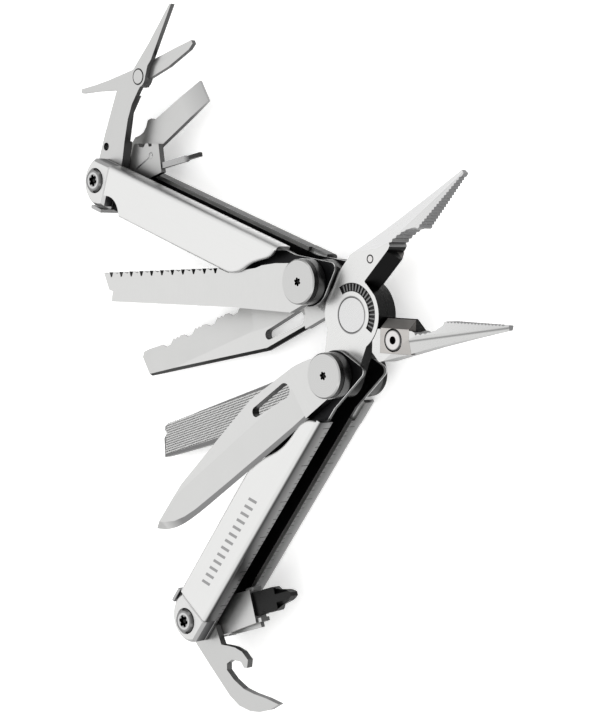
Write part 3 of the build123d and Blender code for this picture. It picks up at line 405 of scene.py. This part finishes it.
# each jaw's tone towards its tip, and the painted reflection on its facet
jaw_tip_and_reflection_tones = {
    "upper_jaw": ((0.46, 0.46, 0.46), (0.64, 0.64, 0.64)),
    "lower_jaw": ((0.43, 0.43, 0.43), (0.50, 0.50, 0.495))}
for name, place in (("upper_jaw", upper_jaw_place), ("lower_jaw", lower_jaw_place)):
    material, tree, shader, skin, parts = steel(
        name + "_ground", place, (0.53, 0.53, 0.525), (0.13, 0.13, 0.13), length=5.0, pitch=0.1, streak=0.12,
        smooth=0.2, rough=0.36)
    facing = skin.outputs["Facing"]
    tip_tone, facet_reflection_tone = jaw_tip_and_reflection_tones[name]
    paint(tree, shader, all_of(tree, ramp(tree, parts["X"], 16.0, 44.0), facing), tip_tone)
    # painted reflection on the facet down the back, found by its tilt
    facet = all_of(
        tree, tilt_between(tree, 0.93, 0.985), above(tree, parts["X"], 10.5), above(tree, parts["Y"], 0.7))
    paint(tree, shader, facet, facet_reflection_tone)
    if name == "lower_jaw":
        ridge = maths(tree, "MULTIPLY_ADD", parts["X"], ridge_slope, parts["Y"])
        off_ridge = maths(tree, "ABSOLUTE", maths(tree, "SUBTRACT", ridge, ridge_height))
        line = all_of(tree, below(tree, off_ridge, 0.2, 0.2), above(tree, parts["X"], 18.0, 1.0), facing)
        paint(tree, shader, line, (0.19, 0.19, 0.19))
    side = below(tree, facing, 0.5, 0.2)
    near = below(tree, parts["X"], grip_start)
    grip = all_of(tree, side, above(tree, parts["X"], grip_start), below(tree, parts["Y"], 3.6))
    paint(tree, shader, grip, (0.15, 0.15, 0.152))
    # painted shade: the side walls short of the teeth turn near black
    paint(tree, shader, all_of(tree, side, near, below(tree, parts["Y"], 8.0)), (0.012, 0.012, 0.012))
    # painted shade round the cutters, near black
    cutter = all_of(tree, near, above(tree, parts["X"], cutter_start), below(tree, parts["Y"], 2.98))
    paint(tree, shader, cutter, (0.012, 0.012, 0.012))
    radius = distance_from(tree, parts)
    # painted shade inside the groove round the main rivet
    in_groove = all_of(tree, between(tree, radius, 6.0, 8.2), between(tree, parts["Z"], 2.5, 3.15))
    paint(tree, shader, in_groove, (0.025, 0.025, 0.025))
    rim = all_of(tree, above(tree, radius, 4.5), below(tree, radius, 4.85, 0.12), facing)
    paint(tree, shader, rim, (0.16, 0.16, 0.16))
    dress(material, name)


# ---------------------------------------------------------------- groove ribs
# Plain radial ribs of the joint plate's own steel, left standing where the curved groove round the
# main rivet was pressed into it.
def in_frame(place):
    """The turn, place and scale that take a piece from its own frame, in mm, to the shared one."""
    x, y, turn, hand = place
    spot = Matrix.Translation((x / 1000, y / 1000, thickness_middle / 1000))
    turned = Matrix.Rotation(math.radians(turn), 4, "Z")
    return spot @ turned @ Matrix.Diagonal((0.001, 0.001 * hand, 0.001, 1))


def new_piece(name, bm, material):
    """An object at the origin made of a finished bmesh and one material."""
    mesh = bpy.data.meshes.new(name)
    bm.to_mesh(mesh)
    bm.free()
    mesh.materials.append(material)
    piece = bpy.data.objects.new(name, mesh)
    bpy.context.collection.objects.link(piece)
    return piece


rib_count = 17
rib_fan = 136.0
rib_length, rib_width, rib_height = 1.9, 0.42, 0.3
rib_radius, rib_level = 7.1, 3.0
rib_bevel = 0.06
rib_material = steel(
    "groove_ribs_ground", upper_jaw_place, (0.17, 0.17, 0.17), (0.06, 0.06, 0.06), length=1.0, pitch=0.2,
    streak=0.15, smooth=0.25, rough=0.4)[0]
bm = bmesh.new()
for step in range(rib_count):
    angle = math.radians(-rib_fan / 2 + rib_fan * step / (rib_count - 1))
    made = bmesh.ops.create_cube(bm, size=1.0)["verts"]
    spot = Matrix.Rotation(angle, 4, "Z") @ Matrix.Translation((rib_radius, 0, rib_level))
    rib_shape = Matrix.Diagonal((rib_length, rib_width, rib_height, 1))
    bmesh.ops.transform(bm, matrix=spot @ rib_shape, verts=made)
bmesh.ops.bevel(
    bm, geom=bm.edges[:], offset=rib_bevel, offset_type="OFFSET", affect="EDGES", segments=1, profile=0.5,
    material=-1)
bmesh.ops.transform(bm, matrix=in_frame(upper_jaw_place), verts=bm.verts[:])
ribs = new_piece("groove_ribs", bm, rib_material)
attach(ribs, "pliers")

# ---------------------------------------------------------------- main rivet
# One bright steel rivet holds the two joint plates together. It is pressed in and ground flush with
# the hub on both sides.
rivet_material = steel(
    "rivet_bright", upper_jaw_place, (0.50, 0.50, 0.50), (0.05, 0.05, 0.05), length=3.0, pitch=0.1,
    streak=0.08, smooth=0.2, rough=0.34)[0]
dress(rivet_material, "main_rivet")

# ---------------------------------------------------------------- wire cutter inserts
# Hard tool-steel blocks with a ground bevel, let into the jaws so that worn ones can be changed.
# Each is held in its jaw by a polished cap screw.
cap_spot = (14.5, 5.6)
for name, place in (("upper", upper_jaw_place), ("lower", lower_jaw_place)):
    insert_material = steel(
        name + "_insert_ground", place, (0.40, 0.385, 0.37), (0.10, 0.094, 0.09), length=3.0, pitch=0.15,
        streak=0.3, smooth=0.3, rough=0.5)[0]
    dress(insert_material, name + "_cutter_insert")
    material, tree, shader, skin, parts = steel(
        name + "_cap_screw", place, (0.50, 0.49, 0.485), (0.16, 0.16, 0.16), length=1.0, pitch=0.2,
        streak=0.1, smooth=0.1, rough=0.22)
    radius = distance_from(tree, parts, *cap_spot)
    front = above(tree, parts["Z"], 0.0)
    rear = below(tree, parts["Z"], 0.0)
    head_side, stud_side = (rear, front) if name == "upper" else (front, rear)
    # painted shade: the socket in the middle of the head is near black; the head's rim and the stud face
    # round its middle are painted darker
    paint(tree, shader, all_of(tree, below(tree, radius, 1.02, 0.05), head_side), (0.008, 0.008, 0.008))
    paint(tree, shader, all_of(tree, above(tree, radius, 2.35, 0.2), head_side), (0.05, 0.05, 0.05))
    paint(tree, shader, all_of(tree, above(tree, radius, 0.8, 0.05), stud_side), (0.02, 0.02, 0.02))
    dress(material, name + "_cutter_screw")

# ---------------------------------------------------------------- pivot heads
# Blade pivots turned from bright bar: a flat front head screwed into a post whose rear head is in one
# piece with it, their rims and sockets painted dark as shade. The smaller tool pivots are made alike,
# polished and chamfered, with a painted reflection darkening the chamfer and a painted highlight ring.
lower_tool = pivot("can_opener_pivot")
upper_tool = pivot("scissors_pivot")
socket_floor, socket_end = 2.0, 8.97
for side_name, place, tool_pivot in (("lower", lower_place, lower_tool), ("upper", upper_place, upper_tool)):
    material, tree, shader, skin, parts = steel(
        side_name + "_pivot_head", place, (0.44, 0.44, 0.435), (0.022, 0.022, 0.022), length=4.0, pitch=0.12,
        streak=0.06, smooth=0.28, rough=0.42)
    radius = distance_from(tree, parts)
    rings = comb(tree, radius, 0.55, 0.1)
    rings = all_of(tree, rings, above(tree, radius, 1.3), skin.outputs["Facing"])
    paint(tree, shader, rings, (0.40, 0.40, 0.40))
    in_socket = between(tree, parts["Z"], socket_floor, socket_end)
    # painted shade inside the screw socket
    socket_shade = all_of(tree, below(tree, radius, 1.2, 0.05), in_socket)
    paint(tree, shader, socket_shade, (0.012, 0.012, 0.012))
    dress(material, side_name + "_pivot_screw", side_name + "_pivot_post")

    material, tree, shader, skin, parts = steel(
        side_name + "_tool_pivot_head", (*tool_pivot, *place[2:]), (0.26, 0.26, 0.26), (0.05, 0.05, 0.05),
        length=2.0, pitch=0.12, streak=0.1, smooth=0.08, rough=0.2)
    radius = distance_from(tree, parts)
    # painted reflection: the chamfer darkens towards the rim
    paint(tree, shader, ramp(tree, radius, 2.2, 3.4), (0.05, 0.05, 0.05))
    # a painted highlight ring inside the chamfer
    highlight_ring = all_of(tree, between(tree, radius, 1.8, 2.3), skin.outputs["Facing"])
    paint(tree, shader, highlight_ring, (0.42, 0.42, 0.42))
    in_socket = between(tree, parts["Z"], socket_floor, socket_end)
    # painted shade inside the screw socket
    socket_shade = all_of(tree, below(tree, radius, 1.75, 0.05), in_socket)
    paint(tree, shader, socket_shade, (0.012, 0.012, 0.012))
    dress(material, side_name + "_end_screw", side_name + "_end_post")

# ---------------------------------------------------------------- lock levers and small inside trim
# Rocking lock bars with thumb tabs, turning on cross pins and pressed down by leaf springs. Bronze
# washers stand between the frames, the outside blades and the inside tools.
for side_name, place in (("lower", lower_place), ("upper", upper_place)):
    lock_material = steel(
        side_name + "_lock_steel", place, (0.32, 0.32, 0.32), (0.24, 0.24, 0.24), length=3.0, pitch=0.15,
        streak=0.25, smooth=0.25, rough=0.42)[0]
    dress(lock_material, side_name + "_lock_lever", side_name + "_lock_pin", side_name + "_lock_spring")
    washer_material = steel(
        side_name + "_washer_bronze", place, (0.40, 0.30, 0.19), (0.24, 0.18, 0.11), length=1.0, pitch=0.2,
        streak=0.2, smooth=0.3, rough=0.5)[0]
    dress(washer_material, side_name + "_blade_washers", side_name + "_tool_spacers")


# ---------------------------------------------------------------- outside blades
# Knife, serrated knife and wood saw, laser-cut from hard stainless sheet and ground across; the
# grinds show as fine lines across the blade. The grind facets, the honed bevel at each edge and the
# chamfers are painted darker by their tilt, as reflection and shade.
def turned_out(place, joint_name, closed_end):
    """Where a blade lies at rest: its handle's place, less the turn that closes it into the handle."""
    x, y, turn, hand = place
    return x, y, turn - joints[joint_name]["range_deg"][closed_end], hand


knife_place = turned_out(lower_place, "knife_pivot", 1)
saw_place = turned_out(upper_place, "saw_pivot", 0)
serrated_place = turned_out(upper_place, "serrated_knife_pivot", 0)
hone_end = 74.0
for name, place in (("knife", knife_place), ("serrated_knife", serrated_place), ("saw", saw_place)):
    material, tree, shader, skin, parts = steel(
        name + "_ground", place, (0.49, 0.49, 0.485), (0.09, 0.09, 0.09), length=0.16, pitch=5.0, streak=0.10,
        smooth=0.24, rough=0.38)
    # painted reflection: the grind facets a little darker
    paint(tree, shader, tilt_between(tree, 0.985, 0.998), (0.455, 0.455, 0.45))
    # painted reflection: the honed bevel darker, short of the tip
    hone_dark_reflection = all_of(tree, tilt_between(tree, 0.85, 0.98), below(tree, parts["X"], hone_end, 3.0))
    paint(tree, shader, hone_dark_reflection, (0.20, 0.20, 0.20))
    # painted shade: the steep chamfers near black
    paint(tree, shader, tilt_between(tree, 0.4, 0.8), (0.045, 0.045, 0.045))
    dress(material, name)

# ---------------------------------------------------------------- file
# A double-cut file: its body is plain steel, and both faces carry two crossed sets of fine ridges
# between a smooth heel and a smooth nose.
file_place = turned_out(lower_place, "file_pivot", 1)
file_faces = (-4.75, -7.15)
tooth_count = 72
tooth_slant, tooth_pitch = 52.0, 1.0
tooth_length, tooth_width, tooth_height = 11.6, 0.36, 0.08
first_tooth, file_middle = 12.5, -0.55
# heel, nose and the two long edges: a point on each, and the way out of the toothed part
toothed_ends = (
    ((13.5, 0), (-1, 0)), ((79.6, 0), (0.94, -0.33)), ((0, 4.2), (0.01, 1)), ((0, -5.05), (0, -1)))
file_material = steel(
    "file_steel", file_place, (0.15, 0.15, 0.15), (0.10, 0.10, 0.10), length=2.0, pitch=0.3, streak=0.25,
    smooth=0.35, rough=0.5)[0]
dress(file_material, "metal_file")
tooth_material = steel(
    "file_ridges", file_place, (0.56, 0.56, 0.555), (0.05, 0.05, 0.05), length=1.0, pitch=0.3, streak=0.2,
    smooth=0.3, rough=0.45)[0]
bm = bmesh.new()
for level in file_faces:
    for way in (1, -1):
        turned = Matrix.Rotation(math.radians(tooth_slant * way), 4, "Z")
        tooth_shape = turned @ Matrix.Diagonal((tooth_length, tooth_width, 2 * tooth_height, 1))
        for step in range(tooth_count):
            made = bmesh.ops.create_cube(bm, size=1.0)["verts"]
            spot = Matrix.Translation((first_tooth + tooth_pitch * step, file_middle, level))
            bmesh.ops.transform(bm, matrix=spot @ tooth_shape, verts=made)
for (x, y), (out_x, out_y) in toothed_ends:
    everything = bm.verts[:] + bm.edges[:] + bm.faces[:]
    cut = bmesh.ops.bisect_plane(
        bm, geom=everything, plane_co=(x, y, 0), plane_no=(out_x, out_y, 0), clear_outer=True)
    rim_edges = [item for item in cut["geom_cut"] if isinstance(item, bmesh.types.BMEdge)]
    bmesh.ops.holes_fill(bm, edges=rim_edges, sides=0)
bmesh.ops.transform(bm, matrix=in_frame(file_place), verts=bm.verts[:])
bmesh.ops.recalc_face_normals(bm, faces=bm.faces[:])
teeth = new_piece("file_teeth", bm, tooth_material)
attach(teeth, "file")

# ---------------------------------------------------------------- inside tools
# Can opener, bit drivers, scissors and screwdriver, blanked from stainless sheet and ground on their
# faces. They turn on the two tool pivots, and their cut edges are painted dark as shade.
scissors_joint = 31.75
# how far each tool stands turned at rest, in degrees
opener_turn, large_turn, scissors_turn, flat_turn, small_turn = -37.6, 15.4, 63.5, 29.1, 7.1
large_place = (*lower_tool, large_turn, 1)
scissors_place = (*upper_tool, scissors_turn, -1)
small_place = (*upper_tool, small_turn, -1)
for name, place, face in (
        ("can_opener", (*lower_tool, opener_turn, 1), 0.42),
        ("large_bit_driver", large_place, 0.47),
        ("scissors_body", scissors_place, 0.43),
        ("scissors_lever", scissors_place, 0.43),
        ("flat_screwdriver", (*upper_tool, flat_turn, -1), 0.42),
        ("small_bit_driver", small_place, 0.38)):
    material, tree, shader, skin, parts = steel(
        name + "_satin", place, (face, face, face * 0.99), (0.085, 0.085, 0.085), length=5.0, pitch=0.12,
        streak=0.08, smooth=0.26, rough=0.4)
    if name in ("scissors_body", "scissors_lever"):
        ring = between(tree, distance_from(tree, parts, scissors_joint), 1.95, 2.35)
        paint(tree, shader, ring, (0.03, 0.03, 0.03))
    if name == "flat_screwdriver":
        paint(tree, shader, ramp(tree, parts["X"], 33.0, 44.0), (0.30, 0.30, 0.30))
    dress(material, name)
    if name == "scissors_body":
        dress(material, "scissors_rivet", "scissors_spring")
    if name == "small_bit_driver":
        dress(material, "small_bit_pin")

# ---------------------------------------------------------------- driver bits
# The small flat bit is plain steel, darkened towards its tip. The large cross bit is finished in black
# oxide. Each slides into the socket of its driver.
material, tree, shader, skin, parts = steel(
    "small_bit_steel", small_place, (0.30, 0.30, 0.30), (0.08, 0.08, 0.08), length=1.0, pitch=0.2,
    streak=0.2, smooth=0.2, rough=0.36)
paint(tree, shader, ramp(tree, parts["X"], 29.0, 31.5), (0.03, 0.03, 0.03))
dress(material, "small_bit")
large_bit_material = steel(
    "bit_black_oxide", large_place, (0.022, 0.022, 0.022), (0.014, 0.014, 0.014), length=0.8, pitch=0.3,
    streak=0.5, smooth=0.3, rough=0.5)[0]
dress(large_bit_material, "large_bit")

# ---------------------------------------------------------------- wire catch
# A bent spring wire anchored by the pin of the small driver. It is half let into the plate, so that
# the scissors pass over it with a little room.
wire_radius = 0.2
wire_level = 0.07
wire = bpy.data.curves.new("bit_catch_wire", "CURVE")
wire.dimensions = "3D"
wire.bevel_depth = wire_radius
wire.bevel_resolution = 3
wire.use_fill_caps = True
stretch = wire.splines.new("NURBS")
route = [(16.5, -4.3), (16.1, -5.2), (15.1, -5.0), (15.0, -4.1), (13.6, -3.5), (11.4, -2.7), (9.0, -1.9)]
stretch.points.add(len(route) - 1)
for point, (x, y) in zip(stretch.points, route):
    point.co = (x, y, wire_level, 1)
stretch.order_u = 3
stretch.use_endpoint_u = True
draft = bpy.data.objects.new("bit_catch_draft", wire)
bpy.context.collection.objects.link(draft)
bm = bmesh.new()
bm.from_mesh(bpy.data.meshes.new_from_object(draft))
bpy.data.objects.remove(draft)
bmesh.ops.transform(bm, matrix=in_frame(small_place), verts=bm.verts[:])
bmesh.ops.recalc_face_normals(bm, faces=bm.faces[:])
wire_material = steel(
    "spring_wire", small_place, (0.45, 0.45, 0.45), (0.2, 0.2, 0.2), length=2.0, pitch=0.1, streak=0.1,
    smooth=0.15, rough=0.3)[0]
catch = new_piece("bit_catch_wire", bm, wire_material)
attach(catch, "small_driver")
